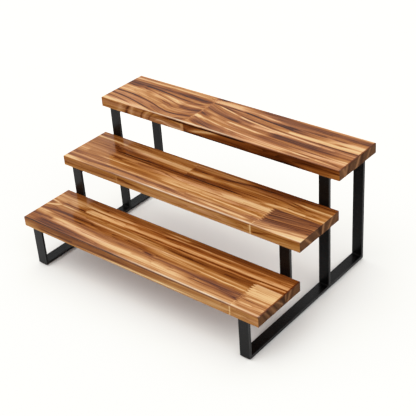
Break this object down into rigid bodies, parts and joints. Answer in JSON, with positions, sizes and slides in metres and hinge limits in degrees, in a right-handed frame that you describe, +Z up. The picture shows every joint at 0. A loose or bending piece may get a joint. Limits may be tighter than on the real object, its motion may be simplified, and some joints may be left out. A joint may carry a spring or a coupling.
{
  "type": "tiered display stand",
  "caption": "Stepped countertop display stand: hardwood shelves rising from front to back on welded black flat-bar side frames, for showing goods in tiers.",
  "frame": {"origin": "on the floor, under the middle of the stand", "axes": "+Z up, +X along the shelves to the right seen from the front, the low front edge faces -Y"},
  "size_m": [0.508, 0.328, 0.232],
  "materials": {
    "lower_shelf_wood": "satin varnished, streaky glued hardwood",
    "middle_shelf_wood": "satin varnished, streaky glued hardwood",
    "upper_shelf_wood": "satin varnished, streaky glued hardwood",
    "frame_coat": "satin black powder coat",
    "screw_steel": "blackened steel",
    "foot_pad": "matt rubber"
  },
  "bodies": {
    "root": {"lower_shelf": "lower_shelf_wood", "middle_shelf": "middle_shelf_wood", "upper_shelf": "upper_shelf_wood", "left_bottom_rail": "frame_coat", "left_front_leg": "frame_coat", "left_lower_bearer": "frame_coat", "left_middle_riser": "frame_coat", "left_middle_bearer": "frame_coat", "left_centre_upright": "frame_coat", "left_top_bearer": "frame_coat", "left_rear_leg": "frame_coat", "right_bottom_rail": "frame_coat", "right_front_leg": "frame_coat", "right_lower_bearer": "frame_coat", "right_middle_riser": "frame_coat", "right_middle_bearer": "frame_coat", "right_centre_upright": "frame_coat", "right_top_bearer": "frame_coat", "right_rear_leg": "frame_coat", "lower_left_front_screw": "screw_steel", "lower_left_rear_screw": "screw_steel", "lower_right_front_screw": "screw_steel", "lower_right_rear_screw": "screw_steel", "middle_left_front_screw": "screw_steel", "middle_left_rear_screw": "screw_steel", "middle_right_front_screw": "screw_steel", "middle_right_rear_screw": "screw_steel", "upper_left_front_screw": "screw_steel", "upper_left_rear_screw": "screw_steel", "upper_right_front_screw": "screw_steel", "upper_right_rear_screw": "screw_steel", "left_front_pad": "foot_pad", "left_rear_pad": "foot_pad", "right_front_pad": "foot_pad", "right_rear_pad": "foot_pad"}
  },
  "joints": []
}
